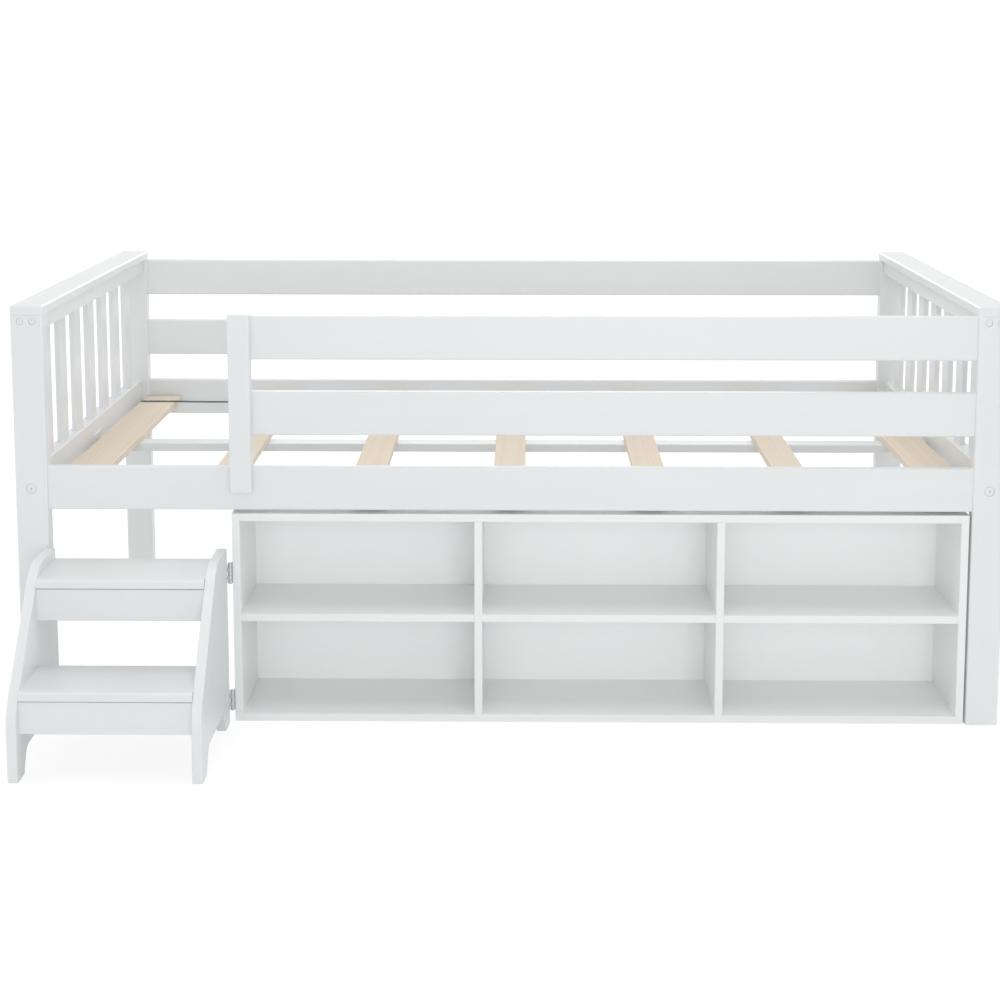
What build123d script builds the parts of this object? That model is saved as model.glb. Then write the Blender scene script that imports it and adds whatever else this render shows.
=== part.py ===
from build123d import *
import os
from math import sqrt

os.makedirs("parts", exist_ok=True)

# Low loft bed. X runs along its length, Y from the front to the back and Z up from the floor.
# The origin is on the floor under the middle of the whole footprint, steps included.
# All sizes are in millimetres.

# Posts and caps
bed_length = 2019
bed_width = 1059
post_width = 66
post_depth = 35
post_height = 852
post_round = 4
cap_thickness = 19
cap_round = 4
joint_easing = 1

# Long boards: side rails low down, guard rails above them, evenly spaced up to the post tops
board_height = 90
board_thickness = 22
board_round = 4
side_rail_bottom = 449
guard_rail_drop = 1
guard_rail_length = 1510

# Post that closes the free end of the front guard rails
guard_post_width = 44
guard_post_depth = 30
guard_post_rise = 6
guard_post_lap = 49
guard_post_round = 4

# Rails and spindles of the two ends
end_rail_thickness = 30
end_rail_round = 3
top_rail_width = 50
top_rail_height = 34
top_rail_round = 2
spindle_count = 7
spindle_width = 58
spindle_thickness = 12
spindle_round = 2
tenon_length = 10
mortise_side_clearance = 0.1
mortise_end_clearance = 0.5

# Slats and what carries them
slat_count = 7
slat_width = 68
end_slat_width = 88
slat_thickness = 15
slat_round = 1.5
slat_recess = 42
slat_end_clearance = 2
end_slat_gap = 14
ledger_depth = 25
ledger_height = 27
ledger_end_gap = 10
ledger_round = 2
centre_board_width = 50
centre_board_thickness = 19
centre_board_end_gap = 2
cleat_width = 70
cleat_thickness = 3
cleat_shelf = 24
cleat_rise = 8
cleat_bend = 1.5
cleat_corner = 6
cleat_screw_radius = 2
cleat_screw_head_radius = 3.4
cleat_screw_drop = 5
cleat_screw_spacing = 44
strap_width = 18
strap_thickness = 1
strap_inset = 80

# Bookcase under the bed
case_length = 1508
case_depth = 232
case_board = 16
case_round = 1
case_setback = 6
case_end_gap = 4
case_top_gap = 7.5
case_lower_clear = 198
case_column_count = 3
case_back_thickness = 5
case_back_inset = 8
case_groove_depth = 5
case_groove_clearance = 0.2
dowel_radius = 4
dowel_length = 28
dowel_wall = 2
dowel_inset = 40
dowel_round = 0.8
dowel_side_clearance = 0.05
dowel_end_clearance = 0.5

# Steps in front of the entry gap
steps_width = 372.4
steps_depth = 329
steps_height = 372
steps_gap = 2
steps_side = 20
steps_side_round = 2.5
steps_nose_height = 137
steps_top_depth = 128
steps_bend = 80
steps_back_bend = 8
foot_width = 50
arch_height = 47
arch_slant = 20
arch_bend = 30
tread_depth = 160
tread_thickness = 18
tread_nose = 5
tread_round = 5
tread_back_round = 2
tread_tenon_thickness = 9
tread_tenon_inset = 25
upper_tread_top = 349
lower_tread_top = 172.5
apron_height = 64
apron_thickness = 18
apron_setback = 3
apron_gap = 1.5
apron_round = 2
apron_tenon_thickness = 9
apron_tenon_inset = 10

# Butt hinges between the steps and the bookcase
hinge_height = 42
lower_hinge_bottom = 26
upper_hinge_bottom = 296
knuckle_radius = 4.7
knuckle_count = 5
knuckle_gap = 0.3
knuckle_play = 0.4
hinge_pin_radius = 2.5
hinge_pin_clearance = 0.05
hinge_pin_head_radius = 3.9
hinge_pin_head_height = 1.2
leaf_width = 23
leaf_thickness = 2
leaf_relief = 0.6
leaf_corner = 2
leaf_screw_radius = 2
leaf_screw_head_radius = 3.4
leaf_screw_inset = 8

# Bolts, barrel nuts and screws
bolt_radius = 3
bolt_clearance = 0.25
bolt_head_radius = 9.75
bolt_head_height = 2.5
bolt_head_clearance = 0.45
bolt_head_round = 0.8
bolt_socket = 4
bolt_socket_depth = 4
bolt_past_nut = 8
nut_radius = 5
nut_length = 16
nut_distance = 35
nut_clearance = 0.1
nut_thread_clearance = 0.05
nut_slot_width = 1.4
nut_slot_depth = 1.2
rail_bolt_spacing = 44
top_screw_radius = 2.5
top_screw_length = 80
top_screw_head_radius = 6.75
top_screw_head_height = 3
top_screw_spacing = 25
top_screw_drop = 12.5
guard_screw_radius = 2
guard_screw_length = 44
guard_screw_head_radius = 4
guard_screw_head_height = 2.4
guard_screw_spacing = 30
guard_screw_socket = 2.5
guard_screw_socket_depth = 1.6
screw_clearance = 0.05

# Places worked out from the sizes above
front_y = (steps_depth + steps_gap - bed_width) / 2
back_y = front_y + bed_width
middle_y = (front_y + back_y) / 2
post_x = (bed_length - post_width) / 2
post_inner_x = bed_length / 2 - post_width
post_inner_front = front_y + post_depth
post_inner_back = back_y - post_depth
board_front_y = front_y + (post_depth - board_thickness) / 2
board_back_y = board_front_y + board_thickness
rear_board_front_y = back_y - (post_depth + board_thickness) / 2
board_pitch = (post_height - guard_rail_drop - board_height - side_rail_bottom) / 2
side_rail_top = side_rail_bottom + board_height
board_levels = [side_rail_bottom + i * board_pitch for i in range(3)]
guard_left = post_inner_x - guard_rail_length
end_rail_inner_x = post_x - end_rail_thickness / 2
top_rail_bottom = post_height - top_rail_height
slat_top = side_rail_top - slat_recess
slat_bottom = slat_top - slat_thickness
slat_front = post_inner_front + slat_end_clearance
slat_back = post_inner_back - slat_end_clearance
case_right = post_inner_x - case_end_gap
case_left = case_right - case_length
case_front = front_y + case_setback
case_back = case_front + case_depth
case_height = side_rail_bottom - case_top_gap
case_shelf_bottom = case_board + case_lower_clear
case_panel_front = case_back - case_back_inset - case_back_thickness
steps_right = case_left - 2 * knuckle_radius - knuckle_play
steps_left = steps_right - steps_width
steps_back = front_y - steps_gap
hinge_x = case_left - knuckle_radius
hinge_y = steps_back + knuckle_radius


def slab(x, y, z):
    """Box between a low and a high value on each axis."""
    middle = [(low + high) / 2 for low, high in (x, y, z)]
    return Pos(*middle) * Box(x[1] - x[0], y[1] - y[0], z[1] - z[0])


def board(x, y, z, along, radius):
    """Planed timber whose long edges are eased to a radius."""
    timber = slab(x, y, z)
    return fillet(timber.edges().filter_by(along), radius)


def rod(start, direction, radius, length):
    """Round bar from a point along a direction."""
    low_end = (Align.CENTER, Align.CENTER, Align.MIN)
    return Plane(origin=start, z_dir=direction) * Cylinder(radius, length, align=low_end)


def group(solids):
    return Compound(children=list(solids))


def headed_bolt(start, direction, length):
    """Flat-headed bolt with a hexagon socket; start is the middle of its head's outer face."""
    head = rod((0, 0, 0), (0, 0, 1), bolt_head_radius, bolt_head_height)
    head = fillet(head.edges().group_by(Axis.Z)[0], bolt_head_round)
    bolt = head + rod((0, 0, 0), (0, 0, 1), bolt_radius, length)
    socket = RegularPolygon(bolt_socket / 2, 6, major_radius=False)
    return Plane(origin=start, z_dir=direction) * (bolt - extrude(socket, bolt_socket_depth))


def bolt_hole(start, direction, length):
    """Counterbore and clearance hole for the same bolt."""
    seat = rod(start, direction, bolt_head_radius + bolt_head_clearance, bolt_head_height)
    return seat + rod(start, direction, bolt_radius + bolt_clearance, length)


def barrel_nut(centre, axis, bolt_axis):
    """Cross dowel around a bolt, with a slot in its open end."""
    origin = Vector(*centre) + Vector(*axis) * (-nut_length / 2)
    body = rod(origin, axis, nut_radius, nut_length)
    thread_start = Vector(*centre) - Vector(*bolt_axis) * (2 * nut_radius)
    body -= rod(thread_start, bolt_axis, bolt_radius + nut_thread_clearance, 4 * nut_radius)
    end = Plane(origin=origin + Vector(*axis) * nut_length, x_dir=bolt_axis, z_dir=axis)
    slot = end * Box(nut_slot_width, 3 * nut_radius, 2 * nut_slot_depth)
    return body - slot


def nut_hole(centre, axis, surface_distance):
    """Blind hole for a cross dowel; surface_distance is from its centre to the open face."""
    origin = Vector(*centre) + Vector(*axis) * (-nut_length / 2)
    return rod(origin, axis, nut_radius + nut_clearance, nut_length / 2 + surface_distance)


# Where the fasteners are: each entry is a start point and a direction
def levels_at(x_side, y_side):
    """Heights of the long boards that a post carries; the front guard rails stop short of the left post."""
    if x_side < 0 and y_side < 0:
        return board_levels[:1]
    return board_levels


def rail_bolt_heights(level):
    """The side rails have two bolts at each end and the guard rails one."""
    middle = level + board_height / 2
    if level > side_rail_bottom:
        return [middle]
    return [middle - rail_bolt_spacing / 2, middle + rail_bolt_spacing / 2]


def board_middle_y(y_side):
    return front_y + post_depth / 2 if y_side < 0 else back_y - post_depth / 2


def rail_bolt_places(x_side, y_side):
    start_x = x_side * bed_length / 2
    y = board_middle_y(y_side)
    heights = [z for level in levels_at(x_side, y_side) for z in rail_bolt_heights(level)]
    return [((start_x, y, z), (-x_side, 0, 0)) for z in heights]


def end_bolt_place(x_side, y_side):
    y = front_y if y_side < 0 else back_y
    return (x_side * post_x, y, side_rail_bottom + board_height / 2), (0, -y_side, 0)


def top_screw_places(x_side, y_side):
    y = front_y if y_side < 0 else back_y
    z = post_height - top_screw_drop
    offsets = (-top_screw_spacing / 2, top_screw_spacing / 2)
    return [((x_side * post_x + dx, y, z), (0, -y_side, 0)) for dx in offsets]


rail_bolt_length = post_width + nut_distance + bolt_past_nut
end_bolt_length = post_depth + nut_distance + bolt_past_nut
corners = [(x_side, y_side) for x_side in (-1, 1) for y_side in (-1, 1)]


def rail_nut_centre(x_side, y_side, z):
    return (x_side * (post_inner_x - nut_distance), board_middle_y(y_side), z)


def end_nut_centre(x_side, y_side):
    inner = post_inner_front + nut_distance if y_side < 0 else post_inner_back - nut_distance
    return (x_side * post_x, inner, side_rail_bottom + board_height / 2)


def top_screw_hole(start, direction):
    seat = rod(start, direction, top_screw_head_radius + bolt_head_clearance, top_screw_head_height)
    return seat + rod(start, direction, top_screw_radius + screw_clearance, top_screw_length)


def post(x_side, y_side):
    """Corner post with its bolt and screw holes."""
    low_y = front_y if y_side < 0 else post_inner_back
    middle = x_side * post_x
    x = (middle - post_width / 2, middle + post_width / 2)
    body = board(x, (low_y, low_y + post_depth), (0, post_height), Axis.Z, post_round)
    body = fillet(body.edges().group_by(Axis.Z)[-1], joint_easing)
    for start, direction in rail_bolt_places(x_side, y_side):
        body -= bolt_hole(start, direction, post_width)
    body -= bolt_hole(*end_bolt_place(x_side, y_side), post_depth)
    for start, direction in top_screw_places(x_side, y_side):
        body -= top_screw_hole(start, direction)
    return body


def cap(x_side):
    """Flat cap over both posts and the top rail of an end, rounded except underneath, where it is eased."""
    middle = x_side * post_x
    x = (middle - post_width / 2, middle + post_width / 2)
    body = slab(x, (front_y, back_y), (post_height, post_height + cap_thickness))
    body = fillet(body.edges().filter_by(lambda edge: edge.center().Z > post_height), cap_round)
    return fillet(body.edges().group_by(Axis.Z)[0], joint_easing)


def long_board(left, right, front, level, y_side, bolted_ends):
    """Side rail or guard rail, with its bolt holes and barrel nut holes."""
    z = (level, level + board_height)
    body = board((left, right), (front, front + board_thickness), z, Axis.X, board_round)
    hole_length = nut_distance + bolt_past_nut + bolt_clearance
    for x_side in bolted_ends:
        for height in rail_bolt_heights(level):
            start = (x_side * post_inner_x, board_middle_y(y_side), height)
            body -= rod(start, (-x_side, 0, 0), bolt_radius + bolt_clearance, hole_length)
            centre = rail_nut_centre(x_side, y_side, height)
            body -= nut_hole(centre, (0, 1, 0), board_thickness / 2)
    return body


def front_board(left, level, bolted_ends):
    """Front board, with holes for the screws that hold the guard post."""
    body = long_board(left, post_inner_x, board_front_y, level, -1, bolted_ends)
    for z in guard_screw_heights(level):
        body -= guard_screw_hole(z)
    return body


def rear_board(level):
    return long_board(-post_inner_x, post_inner_x, rear_board_front_y, level, 1, (-1, 1))


guard_post_bottom = side_rail_top - guard_post_lap
guard_post_top = board_levels[-1] + board_height + guard_post_rise
guard_post_x = guard_left + guard_post_width / 2


def guard_screw_heights(level):
    """Two screws a board, in the middle of where the board and the guard post meet."""
    low = max(level, guard_post_bottom)
    high = min(level + board_height, guard_post_top)
    middle = (low + high) / 2
    return [middle - guard_screw_spacing / 2, middle + guard_screw_spacing / 2]


def guard_screw_hole(z):
    start = (guard_post_x, board_back_y, z)
    radius = guard_screw_radius + screw_clearance
    head = Cone(
        guard_screw_head_radius + screw_clearance,
        radius,
        guard_screw_head_height,
        align=(Align.CENTER, Align.CENTER, Align.MIN),
    )
    return Plane(origin=start, z_dir=(0, -1, 0)) * head + rod(start, (0, -1, 0), radius, guard_screw_length)


def guard_screw(z):
    """Countersunk screw driven forwards through a board into the guard post."""
    head = Cone(
        guard_screw_head_radius,
        guard_screw_radius,
        guard_screw_head_height,
        align=(Align.CENTER, Align.CENTER, Align.MIN),
    )
    body = head + rod((0, 0, 0), (0, 0, 1), guard_screw_radius, guard_screw_length)
    socket = RegularPolygon(guard_screw_socket / 2, 6, major_radius=False)
    body -= extrude(socket, guard_screw_socket_depth)
    return Plane(origin=(guard_post_x, board_back_y, z), z_dir=(0, -1, 0)) * body


def guard_post():
    """Short post in front of the boards, rounded all over, blind-drilled from behind."""
    x = (guard_left, guard_left + guard_post_width)
    y = (board_front_y - guard_post_depth, board_front_y)
    body = slab(x, y, (guard_post_bottom, guard_post_top))
    front_edges = body.edges().filter_by(lambda edge: edge.center().Y < board_front_y)
    body = fillet(front_edges, guard_post_round)
    for level in board_levels:
        for z in guard_screw_heights(level):
            body -= guard_screw_hole(z)
    return body


# Slatted ends
spindle_gap = (post_inner_back - post_inner_front - spindle_count * spindle_width) / (spindle_count + 1)
spindle_pitch = spindle_width + spindle_gap
spindle_fronts = [post_inner_front + spindle_gap + i * spindle_pitch for i in range(spindle_count)]


def spindle(x_side, front, grow_side, grow_end):
    """Flat spindle with its tenons, or, with grow values, the mortises that take them."""
    middle = x_side * post_x
    half = spindle_thickness / 2 + grow_side
    x = (middle - half, middle + half)
    y = (front - grow_side, front + spindle_width + grow_side)
    z = (side_rail_top - tenon_length - grow_end, top_rail_bottom + tenon_length + grow_end)
    return x, y, z


def spindles(x_side):
    places = [spindle(x_side, front, 0, 0) for front in spindle_fronts]
    return group(board(*place, Axis.Z, spindle_round) for place in places)


def cut_mortises(rail, x_side):
    for front in spindle_fronts:
        rail -= slab(*spindle(x_side, front, mortise_side_clearance, mortise_end_clearance))
    return rail


def end_top_rail(x_side):
    middle = x_side * post_x
    x = (middle - top_rail_width / 2, middle + top_rail_width / 2)
    y = (post_inner_front, post_inner_back)
    rail = board(x, y, (top_rail_bottom, post_height), Axis.Y, top_rail_round)
    for y_side in (-1, 1):
        for start, direction in top_screw_places(x_side, y_side):
            rail -= top_screw_hole(start, direction)
    return cut_mortises(rail, x_side)


def end_bottom_rail(x_side):
    middle = x_side * post_x
    x = (middle - end_rail_thickness / 2, middle + end_rail_thickness / 2)
    y = (post_inner_front, post_inner_back)
    rail = board(x, y, (side_rail_bottom, side_rail_top), Axis.Y, end_rail_round)
    for y_side in (-1, 1):
        start, direction = end_bolt_place(x_side, y_side)
        rail -= rod(start, direction, bolt_radius + bolt_clearance, end_bolt_length + bolt_clearance)
        rail -= nut_hole(end_nut_centre(x_side, y_side), (x_side, 0, 0), end_rail_thickness / 2)
    return cut_mortises(rail, x_side)


# Slats, ledgers, centre board and straps
slat_run = 2 * (end_rail_inner_x - end_slat_gap)
slat_widths = [end_slat_width] + [slat_width] * (slat_count - 2) + [end_slat_width]
slat_space = (slat_run - sum(slat_widths)) / (slat_count - 1)


def slat(number):
    left = -slat_run / 2 + sum(slat_widths[:number]) + number * slat_space
    x = (left, left + slat_widths[number])
    return board(x, (slat_front, slat_back), (slat_bottom, slat_top), Axis.Y, slat_round)


def ledger(y_side):
    half = post_inner_x - ledger_end_gap
    low = board_back_y if y_side < 0 else rear_board_front_y - ledger_depth
    z = (slat_bottom - ledger_height, slat_bottom)
    return board((-half, half), (low, low + ledger_depth), z, Axis.X, ledger_round)


centre_board_bottom = slat_bottom - centre_board_thickness


def centre_board():
    half = end_rail_inner_x - cleat_thickness - centre_board_end_gap
    y = (middle_y - centre_board_width / 2, middle_y + centre_board_width / 2)
    return board((-half, half), y, (centre_board_bottom, slat_bottom), Axis.X, ledger_round)


def centre_cleat(x_side):
    """Bent steel angle on the inside of an end rail; the centre board lies on its shelf."""
    top = slat_top + cleat_rise - centre_board_bottom
    profile = make_face(
        Polyline(
            (0, -cleat_thickness),
            (cleat_shelf, -cleat_thickness),
            (cleat_shelf, 0),
            (cleat_thickness, 0),
            (cleat_thickness, top),
            (0, top),
            close=True,
        )
    )
    inner_bend = ((cleat_thickness, 0), cleat_bend)
    outer_bend = ((0, -cleat_thickness), cleat_bend + cleat_thickness)
    for corner, radius in (inner_bend, outer_bend):
        vertex = profile.vertices().sort_by_distance((*corner, 0))[0]
        profile = fillet(vertex, radius)
    origin = (x_side * end_rail_inner_x, middle_y, centre_board_bottom)
    section = Plane(origin=origin, x_dir=(-x_side, 0, 0), z_dir=(0, x_side, 0))
    angle = extrude(section * profile, cleat_width / 2, both=True)
    plate_corners = angle.edges().filter_by(Axis.X).group_by(Axis.Z)[-1]
    shelf_corners = angle.edges().filter_by(Axis.Z).sort_by(Axis.X, reverse=x_side > 0)[-2:]
    angle = fillet([*plate_corners, *shelf_corners], cleat_corner)
    for y in (-cleat_screw_spacing / 2, cleat_screw_spacing / 2):
        inner_face = x_side * (end_rail_inner_x - cleat_thickness)
        place = (inner_face, middle_y + y, slat_top + cleat_rise - cleat_screw_drop)
        cone = Cone(
            cleat_screw_head_radius,
            cleat_screw_radius,
            cleat_thickness,
            align=(Align.CENTER, Align.CENTER, Align.MIN),
        )
        angle -= Plane(origin=place, z_dir=(x_side, 0, 0)) * cone
    return angle


def strap(y_side):
    """Webbing stapled over all the slats to hold them apart."""
    middle = slat_front + strap_inset if y_side < 0 else slat_back - strap_inset
    y = (middle - strap_width / 2, middle + strap_width / 2)
    return slab((-slat_run / 2, slat_run / 2), y, (slat_top, slat_top + strap_thickness))


# Bookcase
case_inner_left = case_left + case_board
case_inner_right = case_right - case_board
column_total = case_inner_right - case_inner_left - (case_column_count - 1) * case_board
column_width = column_total / case_column_count
column_lefts = [case_inner_left + i * (column_width + case_board) for i in range(case_column_count)]


def case_panel(clearance):
    """Back panel, or, with a clearance, the groove that takes it."""
    reach = case_groove_depth + clearance
    x = (case_inner_left - reach, case_inner_right + reach)
    y = (case_panel_front - clearance / 2, case_panel_front + case_back_thickness + clearance / 2)
    return slab(x, y, (case_board - reach, case_height - case_board + reach))


case_fitted_back = case_panel_front - case_groove_clearance
case_top_bottom = case_height - case_board
dowel_face_depth = (case_board - dowel_wall) / 2 - dowel_end_clearance


def dowel_places():
    """Where a dowel crosses each joint: the middle of a board's end, and the direction into that board."""
    joints = []
    for bottom in (0, case_top_bottom):
        z = bottom + case_board / 2
        joints += [((case_inner_left, z), (1, 0, 0)), ((case_inner_right, z), (-1, 0, 0))]
    for left in column_lefts:
        z = case_shelf_bottom + case_board / 2
        joints += [((left, z), (1, 0, 0)), ((left + column_width, z), (-1, 0, 0))]
    for left in column_lefts[1:]:
        x = left - case_board / 2
        joints += [((x, case_board), (0, 0, 1)), ((x, case_top_bottom), (0, 0, -1))]
    depths = (case_front + dowel_inset, case_fitted_back - dowel_inset)
    return [((x, y, z), direction) for (x, z), direction in joints for y in depths]


def dowel(place, direction):
    """Wooden dowel with rounded ends."""
    body = rod((0, 0, -dowel_face_depth), (0, 0, 1), dowel_radius, dowel_length)
    body = fillet(body.edges().filter_by(GeomType.CIRCLE), dowel_round)
    return Plane(origin=place, z_dir=direction) * body


def dowel_hole(place, direction):
    start = Vector(*place) - Vector(*direction) * (dowel_face_depth + dowel_end_clearance)
    return rod(start, direction, dowel_radius + dowel_side_clearance, dowel_length + 2 * dowel_end_clearance)


def doweled(body):
    """Bores a board for the dowels that reach into it."""
    return body - [dowel_hole(*place) for place in dowel_places()]


def grooved(body):
    return body - case_panel(case_groove_clearance)


def case_side(left):
    x = (left, left + case_board)
    return doweled(grooved(board(x, (case_front, case_back), (0, case_height), Axis.Z, case_round)))


def case_level(bottom):
    """Top or bottom board between the sides."""
    x = (case_inner_left, case_inner_right)
    z = (bottom, bottom + case_board)
    return doweled(grooved(board(x, (case_front, case_back), z, Axis.X, case_round)))


def case_divider(number):
    right = column_lefts[number + 1]
    z = (case_board, case_top_bottom)
    return doweled(board((right - case_board, right), (case_front, case_fitted_back), z, Axis.Z, case_round))


def case_shelf(number):
    x = (column_lefts[number], column_lefts[number] + column_width)
    z = (case_shelf_bottom, case_shelf_bottom + case_board)
    return doweled(board(x, (case_front, case_fitted_back), z, Axis.X, case_round))


# Steps
slant = (steps_height - steps_nose_height) / (steps_depth - steps_top_depth)
steps_inner = (steps_left + steps_side, steps_right - steps_side)


def side_outline():
    """Side panel seen from its end: a sweeping front edge and an arch between two feet."""
    front = -steps_depth
    outline = make_face(
        Polyline(
            (0, 0),
            (0, steps_height),
            (-steps_top_depth, steps_height),
            (front, steps_nose_height),
            (front, 0),
            (front + foot_width, 0),
            (front + foot_width + arch_slant, arch_height),
            (-foot_width - arch_slant, arch_height),
            (-foot_width, 0),
            close=True,
        )
    )
    bends = {
        (0, steps_height): steps_back_bend,
        (-steps_top_depth, steps_height): steps_bend,
        (front, steps_nose_height): steps_bend,
        (front + foot_width + arch_slant, arch_height): arch_bend,
        (-foot_width - arch_slant, arch_height): arch_bend,
    }
    for corner, radius in bends.items():
        vertex = outline.vertices().sort_by_distance((*corner, 0))[0]
        outline = fillet(vertex, radius)
    return outline


def tread_front(top):
    """A tread's front stands a nose out of the slanted edge at the tread's middle."""
    middle = top - tread_thickness / 2
    return steps_back - steps_top_depth - (steps_height - middle) / slant - tread_nose


def apron_top(top):
    return top - tread_thickness - apron_gap


def tenon(y, z, grow_side, grow_end):
    """Tenon at both ends of a board between the side panels, or, with grow values, its mortises."""
    left, right = steps_inner
    reach = tenon_length + grow_end
    y_grown = (y[0] - grow_side, y[1] + grow_side)
    z_grown = (z[0] - grow_side, z[1] + grow_side)
    return slab((left - reach, right + reach), y_grown, z_grown)


def tread_tenon(top, grow_side, grow_end):
    front = tread_front(top)
    middle = top - tread_thickness / 2
    y = (front + tread_tenon_inset, front + tread_depth - tread_tenon_inset)
    z = (middle - tread_tenon_thickness / 2, middle + tread_tenon_thickness / 2)
    return tenon(y, z, grow_side, grow_end)


def apron_tenon(top, grow_side, grow_end):
    middle = tread_front(top) + apron_setback + apron_thickness / 2
    y = (middle - apron_tenon_thickness / 2, middle + apron_tenon_thickness / 2)
    z = (apron_top(top) - apron_height + apron_tenon_inset, apron_top(top) - apron_tenon_inset)
    return tenon(y, z, grow_side, grow_end)


def steps_side_panel(left):
    """Side panel with rounded rims and the mortises of both treads and both aprons."""
    plane = Plane(origin=(left, steps_back, 0), x_dir=(0, 1, 0), z_dir=(1, 0, 0))
    panel = extrude(plane * side_outline(), steps_side)
    faces = panel.faces().filter_by(Axis.X)
    rims = [edge for face in faces for edge in face.edges() if edge.center().Z > 0.5]
    panel = fillet(rims, steps_side_round)
    for top in (upper_tread_top, lower_tread_top):
        panel -= tread_tenon(top, mortise_side_clearance, mortise_end_clearance)
        panel -= apron_tenon(top, mortise_side_clearance, mortise_end_clearance)
    return panel


def tread(top):
    """Tread with a rounded nose, tenoned into the side panels."""
    front = tread_front(top)
    body = slab(steps_inner, (front, front + tread_depth), (top - tread_thickness, top))
    long_edges = body.edges().filter_by(Axis.X)
    body = fillet(long_edges.group_by(Axis.Y)[0].sort_by(Axis.Z)[-1:], tread_round)
    rest = body.edges().filter_by(Axis.X).filter_by(lambda edge: edge.center().Y > front + tread_round + 1)
    lower_front = body.edges().filter_by(Axis.X).sort_by_distance((0, front, top - tread_thickness))[0]
    return fillet([*rest, lower_front], tread_back_round) + tread_tenon(top, 0, 0)


def apron(top):
    front = tread_front(top) + apron_setback
    z = (apron_top(top) - apron_height, apron_top(top))
    body = board(steps_inner, (front, front + apron_thickness), z, Axis.X, apron_round)
    return body + apron_tenon(top, 0, 0)


# Hinges, drawn about a pin that stands at the origin
knuckle_height = (hinge_height - (knuckle_count - 1) * knuckle_gap) / knuckle_count
knuckle_bottoms = [i * (knuckle_height + knuckle_gap) for i in range(knuckle_count)]
plate_start = knuckle_radius + leaf_relief


def hinge_leaf(bottoms):
    """Leaf that runs to -X, its back towards -Y, rolled into a knuckle at each of the given heights."""
    back = (-knuckle_radius, leaf_thickness - knuckle_radius)
    plate = slab((-leaf_width, -plate_start), back, (0, hinge_height))
    outer = plate.edges().filter_by(Axis.Y).filter_by(lambda edge: edge.center().X < -plate_start)
    leaf = fillet(outer, leaf_corner)
    screw_x = -(leaf_width + plate_start) / 2
    for z in (leaf_screw_inset, hinge_height - leaf_screw_inset):
        face = Plane(origin=(screw_x, back[1], z), z_dir=(0, -1, 0))
        cone = Cone(
            leaf_screw_head_radius,
            leaf_screw_radius,
            leaf_thickness,
            align=(Align.CENTER, Align.CENTER, Align.MIN),
        )
        leaf -= face * cone
    for z in bottoms:
        heights = (z, z + knuckle_height)
        knuckle = rod((0, 0, z), (0, 0, 1), knuckle_radius, knuckle_height)
        leaf += slab((-plate_start, 0), back, heights) + knuckle
    return leaf - rod((0, 0, 0), (0, 0, 1), hinge_pin_radius + hinge_pin_clearance, hinge_height)


def moving_leaf(bottom):
    """Leaf on the rear edge of the steps."""
    return Pos(hinge_x, hinge_y, bottom) * hinge_leaf(knuckle_bottoms[1::2])


def fixed_leaf(bottom):
    """Leaf on the outer face of the bookcase's left side."""
    diagonal = Plane(origin=(0, 0, 0), x_dir=(0, 0, 1), z_dir=(1 / sqrt(2), 1 / sqrt(2), 0))
    return Pos(hinge_x, hinge_y, bottom) * mirror(hinge_leaf(knuckle_bottoms[0::2]), about=diagonal)


def hinge_pin(bottom):
    """Pin with a domed head at each end."""
    shank = rod((0, 0, 0), (0, 0, 1), hinge_pin_radius, hinge_height)
    upper = rod((0, 0, hinge_height), (0, 0, 1), hinge_pin_head_radius, hinge_pin_head_height)
    lower = rod((0, 0, 0), (0, 0, -1), hinge_pin_head_radius, hinge_pin_head_height)
    upper = fillet(upper.edges().group_by(Axis.Z)[-1], hinge_pin_head_height / 2)
    lower = fillet(lower.edges().group_by(Axis.Z)[0], hinge_pin_head_height / 2)
    return Pos(hinge_x, hinge_y, bottom) * (shank + upper + lower)


# Fasteners
def top_screws():
    """Screws through the posts into the ends of the top rails."""
    screws = []
    for corner in corners:
        for start, direction in top_screw_places(*corner):
            head = rod((0, 0, 0), (0, 0, 1), top_screw_head_radius, top_screw_head_height)
            head = fillet(head.edges().group_by(Axis.Z)[0], bolt_head_round)
            body = head + rod((0, 0, 0), (0, 0, 1), top_screw_radius, top_screw_length)
            socket = RegularPolygon(guard_screw_socket / 2, 6, major_radius=False)
            body -= extrude(socket, guard_screw_socket_depth)
            screws.append(Plane(origin=start, z_dir=direction) * body)
    return group(screws)


def end_rail_bolts():
    return group(headed_bolt(*end_bolt_place(*corner), end_bolt_length) for corner in corners)


def rail_bolts():
    """Long bolts through the width of the posts into the ends of the long boards."""
    places = [place for corner in corners for place in rail_bolt_places(*corner)]
    return group(headed_bolt(*place, rail_bolt_length) for place in places)


def barrel_nuts():
    nuts = []
    for x_side, y_side in corners:
        nuts.append(barrel_nut(end_nut_centre(x_side, y_side), (x_side, 0, 0), (0, 1, 0)))
        for start, _ in rail_bolt_places(x_side, y_side):
            centre = rail_nut_centre(x_side, y_side, start[2])
            nuts.append(barrel_nut(centre, (0, 1, 0), (1, 0, 0)))
    return group(nuts)


def guard_post_screws():
    return group(guard_screw(z) for level in board_levels for z in guard_screw_heights(level))


pieces = {}
for side_name, x_side in (("left", -1), ("right", 1)):
    pieces[f"post_front_{side_name}"] = post(x_side, -1)
    pieces[f"post_rear_{side_name}"] = post(x_side, 1)
    pieces[f"cap_{side_name}"] = cap(x_side)
    pieces[f"end_top_rail_{side_name}"] = end_top_rail(x_side)
    pieces[f"end_bottom_rail_{side_name}"] = end_bottom_rail(x_side)
    pieces[f"spindles_{side_name}"] = spindles(x_side)

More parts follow.
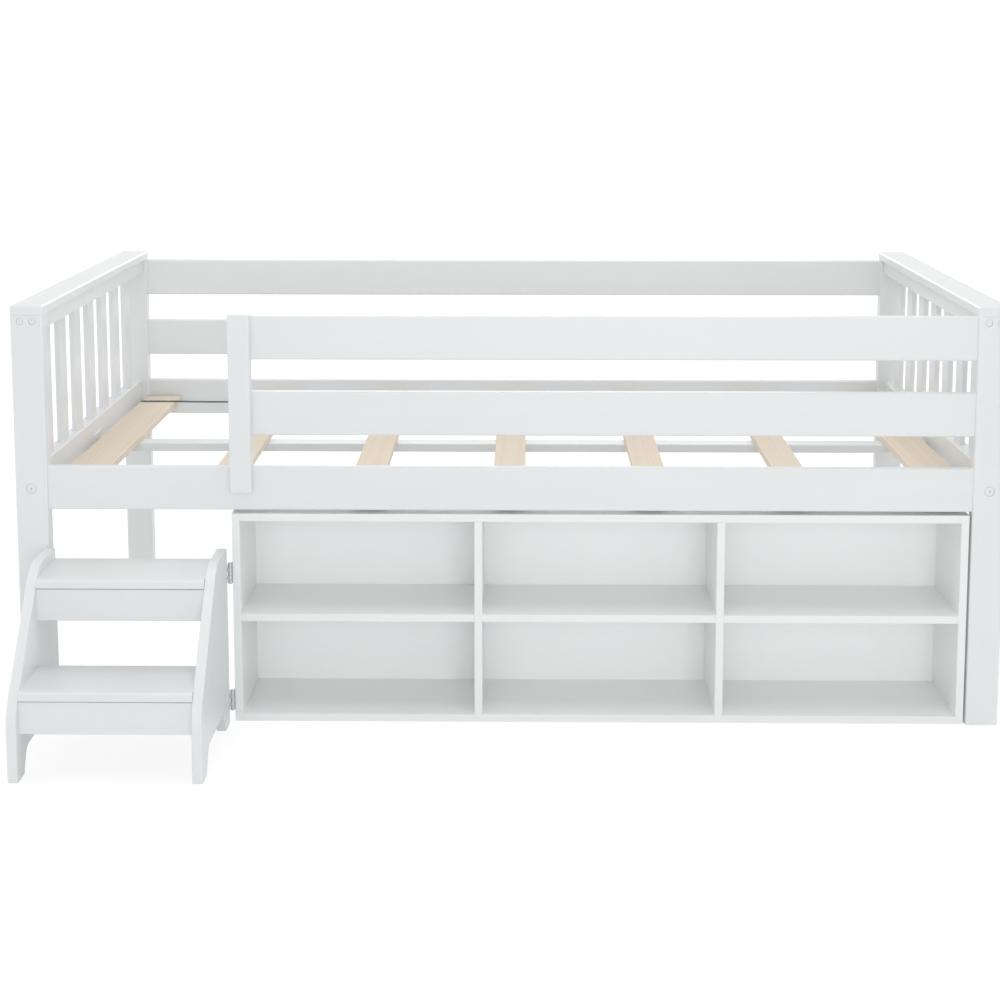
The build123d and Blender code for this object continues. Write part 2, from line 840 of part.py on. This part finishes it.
side_level, lower_level, upper_level = board_levels
pieces["side_rail_front"] = front_board(-post_inner_x, side_level, (-1, 1))
pieces["guard_rail_front_lower"] = front_board(guard_left, lower_level, (1,))
pieces["guard_rail_front_upper"] = front_board(guard_left, upper_level, (1,))
pieces["side_rail_rear"] = rear_board(side_level)
pieces["guard_rail_rear_lower"] = rear_board(lower_level)
pieces["guard_rail_rear_upper"] = rear_board(upper_level)
pieces["guard_post"] = guard_post()

for number in range(slat_count):
    pieces[f"slat_{number + 1}"] = slat(number)
for depth_name, y_side in (("front", -1), ("rear", 1)):
    pieces[f"ledger_{depth_name}"] = ledger(y_side)
    pieces[f"slat_strap_{depth_name}"] = strap(y_side)
pieces["centre_board"] = centre_board()
pieces["centre_board_cleats"] = group(centre_cleat(x_side) for x_side in (-1, 1))

pieces["bookcase_side_left"] = case_side(case_left)
pieces["bookcase_side_right"] = case_side(case_inner_right)
pieces["bookcase_bottom"] = case_level(0)
pieces["bookcase_top"] = case_level(case_height - case_board)
pieces["bookcase_back"] = case_panel(0)
for number in range(case_column_count - 1):
    pieces[f"bookcase_divider_{number + 1}"] = case_divider(number)
for number in range(case_column_count):
    pieces[f"bookcase_shelf_{number + 1}"] = case_shelf(number)
pieces["bookcase_dowels"] = group(dowel(*place) for place in dowel_places())

pieces["steps_side_left"] = steps_side_panel(steps_left)
pieces["steps_side_right"] = steps_side_panel(steps_right - steps_side)
for tread_name, top in (("upper", upper_tread_top), ("lower", lower_tread_top)):
    pieces[f"steps_tread_{tread_name}"] = tread(top)
    pieces[f"steps_apron_{tread_name}"] = apron(top)

for hinge_name, bottom in (("upper", upper_hinge_bottom), ("lower", lower_hinge_bottom)):
    pieces[f"hinge_leaf_fixed_{hinge_name}"] = fixed_leaf(bottom)
    pieces[f"hinge_leaf_moving_{hinge_name}"] = moving_leaf(bottom)
    pieces[f"hinge_pin_{hinge_name}"] = hinge_pin(bottom)

pieces["top_screws"] = top_screws()
pieces["end_rail_bolts"] = end_rail_bolts()
pieces["rail_bolts"] = rail_bolts()
pieces["barrel_nuts"] = barrel_nuts()
pieces["guard_post_screws"] = guard_post_screws()

for name, piece in pieces.items():
    export_step(piece, f"parts/{name}.step")
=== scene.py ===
import math

import bpy
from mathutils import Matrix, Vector


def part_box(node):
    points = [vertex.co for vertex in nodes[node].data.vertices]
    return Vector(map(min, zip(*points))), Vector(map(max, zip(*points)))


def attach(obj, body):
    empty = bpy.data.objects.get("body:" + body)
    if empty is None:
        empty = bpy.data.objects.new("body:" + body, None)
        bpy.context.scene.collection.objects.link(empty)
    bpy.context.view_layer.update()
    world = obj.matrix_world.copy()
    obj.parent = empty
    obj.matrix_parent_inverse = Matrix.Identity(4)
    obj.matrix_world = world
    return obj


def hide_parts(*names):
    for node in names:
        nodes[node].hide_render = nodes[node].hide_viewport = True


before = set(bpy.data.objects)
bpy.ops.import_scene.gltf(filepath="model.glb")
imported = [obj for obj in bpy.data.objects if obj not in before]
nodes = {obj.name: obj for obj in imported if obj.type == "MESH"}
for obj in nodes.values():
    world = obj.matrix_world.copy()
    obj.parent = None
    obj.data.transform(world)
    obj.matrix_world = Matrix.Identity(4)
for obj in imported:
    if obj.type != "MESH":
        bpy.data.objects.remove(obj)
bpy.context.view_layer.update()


# Posts. Square-planed softwood, painted satin white before the bed is put together.
# The grain runs up the post. The paint film is thin enough to show it faintly, and has
# the fine orange peel that a spray gun leaves.
class Wire:
    """A value inside a material, written in sums, products and powers."""

    def __init__(self, finish, socket):
        self.finish = finish
        self.socket = socket

    def __add__(self, other):
        return self.finish.maths("ADD", self, other)

    def __sub__(self, other):
        return self.finish.maths("SUBTRACT", self, other)

    def __rsub__(self, other):
        return self.finish.maths("SUBTRACT", other, self)

    def __mul__(self, other):
        return self.finish.maths("MULTIPLY", self, other)

    def __truediv__(self, other):
        return self.finish.maths("DIVIDE", self, other)

    def __pow__(self, other):
        return self.finish.maths("POWER", self, other)

    __radd__, __rmul__ = __add__, __mul__


class Finish:
    """A material being mixed, with one method that puts in any node."""

    def __init__(self, name, owner=None):
        self.material = owner or bpy.data.materials.new(name)
        self.material.use_nodes = True
        self.tree = self.material.node_tree
        self.shader = self.tree.nodes.get("Principled BSDF")

    def feed(self, node, sockets):
        """Sets or links a node's sockets, which are named by place or by identifier."""
        for key, value in sockets.items():
            if isinstance(key, int):
                socket = node.inputs[key]
            else:
                socket = next(s for s in node.inputs if s.identifier == key)
            if isinstance(value, Wire):
                self.tree.links.new(value.socket, socket)
            else:
                socket.default_value = value

    def add(self, kind, settings=None, sockets=None):
        """Adds a node of any kind: its settings first, then its sockets."""
        node = self.tree.nodes.new(kind)
        for name, value in (settings or {}).items():
            setattr(node, name, value)
        self.feed(node, sockets or {})
        return {output.identifier: Wire(self, output) for output in node.outputs}

    def maths(self, operation, *values):
        """Result of one step of arithmetic on wires and numbers."""
        numbered = dict(enumerate(values))
        return self.add("ShaderNodeMath", {"operation": operation}, numbered)["Value"]

    def place(self, centre=(0, 0, 0), stretch=(1, 1, 1)):
        """Where a point is on the object, in metres, centred and then stretched."""
        here = self.add("ShaderNodeTexCoord")["Object"]
        moved = {"Vector": here, "Location": [-c for c in centre]}
        here = self.add("ShaderNodeMapping", {}, moved)["Vector"]
        return self.add("ShaderNodeMapping", {}, {"Vector": here, "Scale": stretch})["Vector"]

    def noise(self, where, scale, detail=2.0, roughness=0.5, distortion=0.0):
        sockets = {
            "Vector": where,
            "Scale": scale,
            "Detail": detail,
            "Roughness": roughness,
            "Distortion": distortion,
        }
        return self.add("ShaderNodeTexNoise", {}, sockets)["Fac"]

    def blend(self, share, first, second):
        """Colour that goes from first to second as share goes from 0 to 1."""
        sockets = {"Factor_Float": share, "A_Color": first, "B_Color": second}
        return self.add("ShaderNodeMix", {"data_type": "RGBA"}, sockets)["Result_Color"]

    def relief(self, height, depth, strength):
        """Surface relief of a given depth in metres, at a share of its full strength."""
        sockets = {"Height": height, "Distance": depth, "Strength": strength}
        return self.add("ShaderNodeBump", {}, sockets)["Normal"]

    def finish(self, sockets):
        self.feed(self.shader, sockets)
        return self.material


def coat(piece, material):
    """Gives every material slot of a piece the material."""
    for place in piece.material_slots:
        place.material = material


paint_shade = (0.752, 0.772, 0.780, 1)
paint_light = (0.794, 0.811, 0.817, 1)
grain_directions = {"X": (0.025, 1, 1), "Y": (1, 0.025, 1), "Z": (1, 1, 0.025)}


def painted_timber(name, along):
    """White satin paint on softwood whose grain runs along an axis."""
    paint = Finish(name)
    plain = paint.place()
    along_grain = paint.place(stretch=grain_directions[along])
    cloud = paint.noise(plain, 2.2, 2.0)
    streak = paint.noise(along_grain, 55.0, 4.0, 0.62, 0.3)
    pore = paint.noise(along_grain, 420.0, 3.0, 0.6)
    peel = paint.noise(plain, 760.0, 1.0, 0.4)
    tone = 0.5 + (cloud - 0.5) * 1.1 + (streak - 0.5) * 0.5
    sheen = 0.4 + (cloud - 0.5) * 0.16 + (streak - 0.5) * 0.1
    surface = streak * 0.55 + pore * 0.25 + peel * 0.2
    return paint.finish(
        {
            "Base Color": paint.blend(tone, paint_shade, paint_light),
            "Roughness": sheen,
            "Normal": paint.relief(surface, 0.00022, 0.55),
            "Coat Weight": 0.12,
            "Coat Roughness": 0.22,
        }
    )


upright_paint = painted_timber("painted_timber_upright", "Z")
lengthwise_paint = painted_timber("painted_timber_lengthwise", "X")
crosswise_paint = painted_timber("painted_timber_crosswise", "Y")
for corner in ("front_left", "front_right", "rear_left", "rear_right"):
    coat(nodes[f"post_{corner}"], upright_paint)


# Caps and end rails. A flat cap with rounded edges lies over both posts of an end, on a
# top rail; a bottom rail stands level with the side rails. All run from front to back.
for end in ("left", "right"):
    coat(nodes[f"cap_{end}"], crosswise_paint)
    coat(nodes[f"end_top_rail_{end}"], crosswise_paint)
    coat(nodes[f"end_bottom_rail_{end}"], crosswise_paint)


# Spindles. Seven flat uprights fill each end, tenoned into mortises in both rails and
# painted with them.
for end in ("left", "right"):
    coat(nodes[f"spindles_{end}"], upright_paint)


# Long boards. Side rails low down and guard rails above them, in front and at the back,
# bolted through the posts; a short guard post is screwed over the front ones.
for board in (
    "side_rail_front",
    "side_rail_rear",
    "guard_rail_front_lower",
    "guard_rail_front_upper",
    "guard_rail_rear_lower",
    "guard_rail_rear_upper",
):
    coat(nodes[board], lengthwise_paint)
coat(nodes["guard_post"], upright_paint)


# Slat supports. Painted ledger strips glued along the side rails and a centre board that
# keeps the slats from sagging, whose ends lie on bent steel cleats, enamelled white and
# screwed to the end rails.
def enamelled_steel(name, tone):
    """Baked white enamel on steel, fine and even, with a soft gloss."""
    enamel = Finish(name)
    here = enamel.place()
    speck = enamel.noise(here, 900.0, 3.0, 0.6)
    cloud = enamel.noise(here, 120.0, 2.0)
    shade = [c * 0.93 for c in tone] + [1]
    return enamel.finish(
        {
            "Base Color": enamel.blend(cloud * 0.6 + speck * 0.4, shade, [*tone, 1]),
            "Roughness": 0.3 + (speck - 0.5) * 0.15,
            "Normal": enamel.relief(speck, 0.00005, 0.5),
            "Coat Weight": 0.3,
            "Coat Roughness": 0.15,
        }
    )


for support in ("ledger_front", "ledger_rear", "centre_board"):
    coat(nodes[support], lengthwise_paint)
white_enamel = enamelled_steel("white_enamel", (0.84, 0.85, 0.86))
coat(nodes["centre_board_cleats"], white_enamel)


# Slats. Bare planed pine, laid loose across the ledgers. Each is cut from its own place
# in a log, so the growth rings run through it differently, and the ends show end grain.
early_wood = (0.775, 0.675, 0.555, 1)
late_wood = (0.69, 0.55, 0.415, 1)
ring_width = 0.0042


def bare_pine(name, number, centre):
    """Planed pine whose rings circle a pith line below the slat, along its length."""
    pine = Finish(f"bare_pine_{name}")
    pith_offset = 0.02 * math.sin(2.3 * number)
    pith_depth = 0.075 + 0.03 * math.cos(1.7 * number)
    pith_tilt = 0.012 * math.sin(1.1 * number + 0.5)
    here = pine.place(centre=centre)
    axes = pine.add("ShaderNodeSeparateXYZ", {}, {"Vector": here})
    wander = pine.noise(pine.place(centre=centre, stretch=(1, 0.12, 1)), 9.0, 2.0)
    across = axes["X"] - pith_offset + axes["Y"] * pith_tilt + (wander - 0.5) * 0.012
    down = axes["Z"] + pith_depth
    radius = (across * across + down * down) ** 0.5
    turns = radius * (2 * math.pi / ring_width)
    ring = pine.maths("SINE", turns) * 0.5 + 0.5
    late = ring ** 2.6
    along_grain = pine.place(centre=centre, stretch=(1, 0.02, 1))
    fibre = pine.noise(along_grain, 900.0, 3.0, 0.65)
    streak = pine.noise(along_grain, 120.0, 3.0, 0.55)
    cloud = pine.noise(here, 7.0, 2.0)
    tone = 0.05 + late * 0.34 + (fibre - 0.5) * 0.42 + (streak - 0.5) * 0.4 + (cloud - 0.5) * 0.5
    surface = fibre * 0.6 + streak * 0.3 - late * 0.25
    return pine.finish(
        {
            "Base Color": pine.blend(tone, early_wood, late_wood),
            "Roughness": 0.62 + (fibre - 0.5) * 0.2 - late * 0.08,
            "Normal": pine.relief(surface, 0.0003, 0.6),
            "Specular IOR Level": 0.35,
        }
    )


slat_names = [f"slat_{number}" for number in range(1, 8)]
for number, name in enumerate(slat_names, 1):
    low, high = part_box(name)
    coat(nodes[name], bare_pine(name, number, (low + high) / 2))


# Webbing straps. Two narrow bands of dark woven webbing lie over the slats near their
# ends and are stapled to every one, so that the slats roll up together and keep their
# spacing. A band sinks a little between two slats.
strap_sag = 0.0012
strap_steps = 6


def webbing_band(name, cad_strap):
    """Band over all the slats, with its selvedges."""
    low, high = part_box(cad_strap)
    spans = [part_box(slat) for slat in slat_names]
    gaps = [(left[1].x, right[0].x) for left, right in zip(spans, spans[1:])]
    stops = []
    for start, end in gaps:
        stops += [start + (end - start) * step / strap_steps for step in range(strap_steps + 1)]
    bpy.ops.object.select_all(action="DESELECT")
    middle = ((low.x + high.x) / 2, (low.y + high.y) / 2, low.z)
    bpy.ops.mesh.primitive_plane_add(size=1, location=middle)
    band = bpy.context.object
    band.name = name
    band.scale = (high.x - low.x, high.y - low.y, 1)
    bpy.ops.object.transform_apply(location=True, rotation=False, scale=True)
    bpy.ops.object.mode_set(mode="EDIT")
    for stop in stops:
        bpy.ops.mesh.select_all(action="SELECT")
        bpy.ops.mesh.bisect(plane_co=(stop, 0, 0), plane_no=(1, 0, 0))
    bpy.ops.object.mode_set(mode="OBJECT")
    for vertex in band.data.vertices:
        for start, end in gaps:
            if start < vertex.co.x < end:
                share = (vertex.co.x - start) / (end - start)
                vertex.co.z -= 4 * strap_sag * share * (1 - share)
    thickness = band.modifiers.new("thickness", "SOLIDIFY")
    thickness.thickness = high.z - low.z
    thickness.offset = 1
    edge = band.modifiers.new("selvedge", "BEVEL")
    edge.width = 0.0003
    edge.segments = 2
    edge.limit_method = "ANGLE"
    for modifier in ("thickness", "selvedge"):
        bpy.ops.object.modifier_apply(modifier=modifier)
    bpy.ops.object.shade_smooth_by_angle(angle=math.radians(35))
    return band


weft_pitch = 0.0014
warp_pitch = 0.0011


def woven_webbing():
    """Dark polypropylene yarns, with weft ribs across the band and warp along it."""
    cloth = Finish("woven_webbing")
    here = cloth.place()
    axes = cloth.add("ShaderNodeSeparateXYZ", {}, {"Vector": here})
    weft = cloth.maths("SINE", axes["X"] * (2 * math.pi / weft_pitch))
    warp = cloth.maths("SINE", axes["Y"] * (2 * math.pi / warp_pitch))
    crossing = weft * warp * 0.5 + 0.5
    fluff = cloth.noise(here, 1600.0, 2.0)
    tone = crossing * 0.6 + (fluff - 0.5) * 0.5 + 0.2
    return cloth.finish(
        {
            "Base Color": cloth.blend(tone, (0.028, 0.029, 0.032, 1), (0.085, 0.087, 0.092, 1)),
            "Roughness": 0.78 + (fluff - 0.5) * 0.2,
            "Normal": cloth.relief(crossing + fluff * 0.3, 0.0004, 0.8),
            "Sheen Weight": 0.15,
        }
    )


webbing = woven_webbing()
staple_crown = 0.010
staple_wire = 0.0009
staple_leg = 0.004
staple_from_edge = 0.018


def wire_staple():
    """One staple at the origin, its crown along Y, with two legs and rounded edges."""
    bpy.ops.object.select_all(action="DESELECT")
    bpy.ops.mesh.primitive_cube_add(size=1)
    wire = bpy.context.object
    wire.scale = (staple_wire, staple_crown, staple_wire)
    bpy.ops.object.transform_apply(location=False, rotation=False, scale=True)
    shoulder = staple_crown / 2 - staple_wire
    bpy.ops.object.mode_set(mode="EDIT")
    for y in (-shoulder, shoulder):
        bpy.ops.mesh.select_all(action="SELECT")
        bpy.ops.mesh.bisect(plane_co=(0, y, 0), plane_no=(0, 1, 0))
    for side in (-1, 1):
        bpy.ops.mesh.select_all(action="DESELECT")
        bpy.ops.mesh.select_mode(type="FACE")
        bpy.ops.object.mode_set(mode="OBJECT")
        for face in wire.data.polygons:
            face.select = face.normal.z < -0.5 and side * face.center.y > shoulder
        bpy.ops.object.mode_set(mode="EDIT")
        bpy.ops.mesh.extrude_region_move(TRANSFORM_OT_translate={"value": (0, 0, -staple_leg)})
    bpy.ops.object.mode_set(mode="OBJECT")
    rounding = wire.modifiers.new("rounding", "BEVEL")
    rounding.width = staple_wire * 0.3
    rounding.segments = 2
    bpy.ops.object.modifier_apply(modifier="rounding")
    bpy.ops.object.shade_smooth_by_angle(angle=math.radians(40))
    return wire


def copied(pattern, name, place, turn=(0, 0, 0)):
    """Copy of a small piece with its own mesh, turned and put in its place."""
    piece = pattern.copy()
    piece.data = pattern.data.copy()
    piece.name = name
    bpy.context.collection.objects.link(piece)
    bpy.ops.object.select_all(action="DESELECT")
    piece.select_set(True)
    bpy.context.view_layer.objects.active = piece
    piece.rotation_euler = turn
    piece.location = place
    bpy.ops.object.transform_apply(location=True, rotation=True, scale=True)
    return piece


def staple_row(name, cad_strap):
    """Two staples in each slat, across the band."""
    low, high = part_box(cad_strap)
    row = []
    for slat in slat_names:
        slat_low, slat_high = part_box(slat)
        for x in (slat_low.x + staple_from_edge, slat_high.x - staple_from_edge):
            place = (x, (low.y + high.y) / 2, high.z + staple_wire / 2)
            row.append(copied(staple, f"{name}_{len(row) + 1}", place))
    bpy.ops.object.select_all(action="DESELECT")
    for wire in row:
        wire.select_set(True)
    bpy.ops.object.join()
    joined = bpy.context.object
    joined.name = name
    return joined


def plated_steel(name, tone, streak_stretch):
    """Plated steel with fine drawing marks and a satin sheen."""
    steel = Finish(name)
    marks = steel.noise(steel.place(stretch=streak_stretch), 2600.0, 3.0, 0.6)
    cloud = steel.noise(steel.place(), 90.0, 2.0)
    return steel.finish(
        {
            "Base Color": steel.blend(cloud, [c * 0.92 for c in tone] + [1], [*tone, 1]),
            "Metallic": 1.0,
            "Roughness": 0.3 + (marks - 0.5) * 0.18 + (cloud - 0.5) * 0.1,
            "Normal": steel.relief(marks, 0.00006, 0.5),
        }
    )


staple = wire_staple()
staple.data.materials.append(plated_steel("staple_steel", (0.62, 0.62, 0.60), (1, 0.05, 1)))
for end in ("front", "rear"):
    band = webbing_band(f"webbing_{end}", f"slat_strap_{end}")
    band.data.materials.append(webbing)
    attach(band, "bed")
    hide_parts(f"slat_strap_{end}")
    row = staple_row(f"staples_{end}", f"slat_strap_{end}")
    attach(row, "bed")
    low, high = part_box(f"slat_strap_{end}")
bpy.data.objects.remove(staple)


# Bookcase. White lacquered board: sides, top and bottom, two dividers and three shelves,
# doweled together, with a thin back panel let into grooves. The front edges are closed
# with an edge band, whose joint shows as a fine line. The band's greyer tone is painted
# shade, which holds the lit front edges darker than the inner faces.
board_shade = (0.925, 0.945, 0.942, 1)
board_light = (0.945, 0.962, 0.958, 1)
# Greyer tone of the front edge band: painted shade that keeps the lit fronts darker than the inner faces.
edge_band_painted_shade = (0.842, 0.860, 0.855, 1)
shaded_edge_band_thickness = 0.0008
edge_band_joint = 0.0003


def lacquered_board(front_y):
    """Sprayed white lacquer on the faces, and an edge band along the front whose greyer tone is painted
    shade.
    """
    lacquer = Finish("lacquered_board")
    here = lacquer.place()
    cloud = lacquer.noise(here, 1.7, 2.0)
    mottle = lacquer.noise(here, 38.0, 3.0, 0.55)
    peel = lacquer.noise(here, 620.0, 2.0, 0.45)
    tone = 0.5 + (cloud - 0.5) * 1.0 + (mottle - 0.5) * 0.35
    face = lacquer.blend(tone, board_shade, board_light)
    depth = lacquer.add("ShaderNodeSeparateXYZ", {}, {"Vector": here})["Y"] - front_y
    # Strip along the front that takes the painted shade of the edge band.
    band = lacquer.maths("LESS_THAN", depth, shaded_edge_band_thickness)
    joint = lacquer.maths("COMPARE", depth, shaded_edge_band_thickness, edge_band_joint)
    return lacquer.finish(
        {
            "Base Color": lacquer.blend(band, face, edge_band_painted_shade),
            "Roughness": 0.42 + (mottle - 0.5) * 0.14,
            "Normal": lacquer.relief(peel * 0.6 + mottle * 0.4 - joint * 0.5, 0.00014, 0.5),
            "Coat Weight": 0.08,
            "Coat Roughness": 0.25,
        }
    )


lacquer_white = lacquered_board(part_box("bookcase_side_left")[0].y)
for name in nodes:
    if name.startswith("bookcase_") and name != "bookcase_dowels":
        coat(nodes[name], lacquer_white)
low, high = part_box("bookcase_dowels")
coat(nodes["bookcase_dowels"], bare_pine("dowels", len(slat_names) + 1, (low + high) / 2))


# Steps. Two shaped side panels with an arch between their feet, two treads with rounded
# noses, and an apron under each tread, of the same painted softwood as the bed.
for side in ("left", "right"):
    coat(nodes[f"steps_side_{side}"], upright_paint)
for level in ("upper", "lower"):
    coat(nodes[f"steps_tread_{level}"], lengthwise_paint)
    coat(nodes[f"steps_apron_{level}"], lengthwise_paint)


# Hinges. Two plated butt hinges: one leaf on the back edge of the steps, the other on
# the outside of the bookcase, each held by two countersunk cross-head screws.
hinge_plate = plated_steel("hinge_plate", (0.56, 0.565, 0.575), (1, 1, 0.06))
screw_from_leaf_edge = 0.00885
screw_from_leaf_end = 0.008
screw_head_radius = 0.0033
screw_head_depth = 0.0017
screw_head_inset = 0.0001
cross_reach = 0.0021
cross_width = 0.0006
cross_depth = 0.0010


def cross_head_screw():
    """Countersunk head at the origin with a cross recess, its flat face towards Z."""
    bpy.ops.object.select_all(action="DESELECT")
    bpy.ops.mesh.primitive_cone_add(
        vertices=32,
        radius1=screw_head_radius * 0.55,
        radius2=screw_head_radius,
        depth=screw_head_depth,
        location=(0, 0, -screw_head_depth / 2),
    )
    head = bpy.context.object
    bpy.ops.object.transform_apply(location=True, rotation=False, scale=False)
    rim = head.modifiers.new("rim", "BEVEL")
    rim.width = 0.0002
    rim.segments = 2
    rim.limit_method = "ANGLE"
    rim.angle_limit = math.radians(40)
    bpy.ops.object.modifier_apply(modifier="rim")
    for turn in (0, math.pi / 2):
        bpy.ops.object.select_all(action="DESELECT")
        bpy.ops.mesh.primitive_cube_add(size=1, rotation=(0, 0, turn))
        cutter = bpy.context.object
        cutter.scale = (2 * cross_reach, cross_width, 2 * cross_depth)
        bpy.ops.object.transform_apply(location=True, rotation=True, scale=True)
        bpy.context.view_layer.objects.active = head
        recess = head.modifiers.new("recess", "BOOLEAN")
        recess.operation = "DIFFERENCE"
        recess.solver = "EXACT"
        recess.object = cutter
        bpy.ops.object.modifier_apply(modifier="recess")
        bpy.data.objects.remove(cutter)
    bpy.ops.object.select_all(action="DESELECT")
    head.select_set(True)
    bpy.context.view_layer.objects.active = head
    bpy.ops.object.shade_smooth_by_angle(angle=math.radians(30))
    return head


def drive(name, place, outwards, material, body):
    """Puts a copy of the screw in its hole, a hair under the surface around it."""
    outwards = Vector(outwards)
    turn = outwards.to_track_quat("Z", "Y").to_euler()
    piece = copied(screw, name, Vector(place) - outwards * screw_head_inset, turn)
    piece.data.materials.append(material)
    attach(piece, body)


screw = cross_head_screw()
leaf_thickness = 0.002
for level in ("upper", "lower"):
    for piece in ("leaf_fixed", "leaf_moving", "pin"):
        coat(nodes[f"hinge_{piece}_{level}"], hinge_plate)
    moving_low, moving_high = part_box(f"hinge_leaf_moving_{level}")
    fixed_low, fixed_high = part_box(f"hinge_leaf_fixed_{level}")
    heights = (moving_low.z + screw_from_leaf_end, moving_high.z - screw_from_leaf_end)
    for end, z in zip(("bottom", "top"), heights):
        place = (moving_low.x + screw_from_leaf_edge, moving_low.y + leaf_thickness, z)
        name = f"hinge_screw_moving_{level}_{end}"
        drive(name, place, (0, 1, 0), hinge_plate, "steps")
        place = (fixed_high.x - leaf_thickness, fixed_high.y - screw_from_leaf_edge, z)
        name = f"hinge_screw_fixed_{level}_{end}"
        drive(name, place, (-1, 0, 0), hinge_plate, "bed")


# Cleat screws. Two countersunk screws of the same kind, enamelled white, hold each steel
# cleat of the centre board to its end rail; they show just above the end slats.
cleat_thickness = 0.003
cleat_screw_drop = 0.005
cleat_screw_spacing = 0.044
low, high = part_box("centre_board_cleats")
middle = (low.y + high.y) / 2
for end, x, inwards in (
    ("left", low.x + cleat_thickness, (1, 0, 0)),
    ("right", high.x - cleat_thickness, (-1, 0, 0)),
):
    for depth, side in (("front", -1), ("rear", 1)):
        place = (x, middle + side * cleat_screw_spacing / 2, high.z - cleat_screw_drop)
        drive(f"cleat_screw_{end}_{depth}", place, inwards, white_enamel, "bed")
bpy.data.objects.remove(screw)


# Bolts and screws. White-enamelled heads let in flush with the posts, so only their rims
# and sockets show. The barrel nuts that the bolts draw on and the guard post's screws are
# plain zinc.
white_head = enamelled_steel("enamelled_head", (0.80, 0.81, 0.82))
zinc = plated_steel("zinc_plate", (0.70, 0.71, 0.72), (1, 1, 1))
coat(nodes["top_screws"], white_head)
for group in ("end_rail_bolts", "rail_bolts"):
    coat(nodes[group], white_head)
for group in ("barrel_nuts", "guard_post_screws"):
    coat(nodes[group], zinc)


# Studio. A pale floor that runs out of sight under a white sky, with broad soft lamps all
# round. The floor shows the camera mostly white near the bed, so the shadow on it stays
# light, and wholly white further off, where it meets the white sky.
sky_strength = 0.60
floor_size = 120
floor_colour = (0.86, 0.865, 0.87, 1)
floor_glow = 1.13
floor_white_share = 0.72
floor_fade_start = 1.3
floor_fade_length = 1.6


def seen_directly(finish):
    """1 for what the camera sees itself or through a glossy or clear surface."""
    rays = finish.add("ShaderNodeLightPath")
    seen = finish.maths("MAXIMUM", rays["Is Camera Ray"], rays["Is Glossy Ray"])
    return finish.maths("MAXIMUM", seen, rays["Is Transmission Ray"])


def pale_floor():
    floor = Finish("pale_floor")
    floor.feed(floor.shader, {"Base Color": floor_colour, "Roughness": 0.9})
    glow = floor.add("ShaderNodeEmission", {}, {"Color": (1, 1, 1, 1), "Strength": floor_glow})["Emission"]
    own = Wire(floor, floor.shader.outputs["BSDF"])
    distance = floor.add("ShaderNodeVectorMath", {"operation": "LENGTH"}, {0: floor.place()})["Value"]
    fade = (distance - floor_fade_start) / floor_fade_length
    fade = floor.maths("MINIMUM", floor.maths("MAXIMUM", fade, 0), 1)
    share = seen_directly(floor) * (floor_white_share + fade * (1 - floor_white_share))
    mixed = floor.add("ShaderNodeMixShader", {}, {0: share, 1: own, 2: glow})["Shader"]
    output = floor.tree.nodes["Material Output"]
    floor.tree.links.new(mixed.socket, output.inputs["Surface"])
    return floor.material


bpy.ops.object.select_all(action="DESELECT")
bpy.ops.mesh.primitive_plane_add(size=floor_size, location=(0, 0, 0))
studio_floor = bpy.context.object
studio_floor.name = "studio_floor"
studio_floor.data.materials.append(pale_floor())

bpy.context.scene.world = bpy.data.worlds.new("studio_sky")
sky = Finish("studio_sky", bpy.context.scene.world)
background = sky.tree.nodes["Background"]
sky.feed(background, {"Color": (1, 1, 1, 1), "Strength": sky_strength})
white = sky.add("ShaderNodeBackground", {}, {"Color": (1, 1, 1, 1), "Strength": 1.0})["Background"]
light = Wire(sky, background.outputs["Background"])
seen = sky.add("ShaderNodeMixShader", {}, {0: seen_directly(sky), 1: light, 2: white})["Shader"]
sky.tree.links.new(seen.socket, sky.tree.nodes["World Output"].inputs["Surface"])


def soft_lamp(name, place, aim, size, power):
    bpy.ops.object.select_all(action="DESELECT")
    bpy.ops.object.light_add(type="AREA", location=place)
    lamp = bpy.context.object
    lamp.name = name
    lamp.data.shape = "SQUARE"
    lamp.data.size = size
    lamp.data.energy = power
    lamp.rotation_euler = (Vector(aim) - Vector(place)).to_track_quat("-Z", "Y").to_euler()


soft_lamp("lamp_front", (0, -9.0, 1.6), (0, 0, 0.5), 5.2, 142)
soft_lamp("lamp_low_front", (0.7, -5.0, 0.45), (0.4, 0, 0.25), 1.6, 28)
soft_lamp("lamp_left", (-4.6, 0.2, 1.6), (0, 0, 0.4), 2.4, 44)
soft_lamp("lamp_right", (4.6, 0.2, 1.6), (0, 0, 0.4), 2.4, 46)
soft_lamp("lamp_overhead", (0, -0.6, 4.4), (0, 0, 0.4), 3.0, 46)
soft_lamp("lamp_back", (0, 5.2, 2.4), (0, 0, 0.4), 3.0, 50)


# Camera. It stands where the photograph was taken from, about 4 m in front of the bed and
# 1.4 m up, and its lens is shifted down, as far as the other views can bear.
bpy.ops.object.select_all(action="DESELECT")
bpy.ops.object.camera_add(location=(0.0294, -4.0186, 1.3694))
camera = bpy.context.object
camera.rotation_euler = (math.radians(90 - 7.553), 0, math.radians(0.747))
camera.data.sensor_width = 36
camera.data.lens = 66.03
camera.data.shift_y = -0.2
bpy.context.scene.camera = camera
bpy.context.scene.view_settings.view_transform = "Standard"
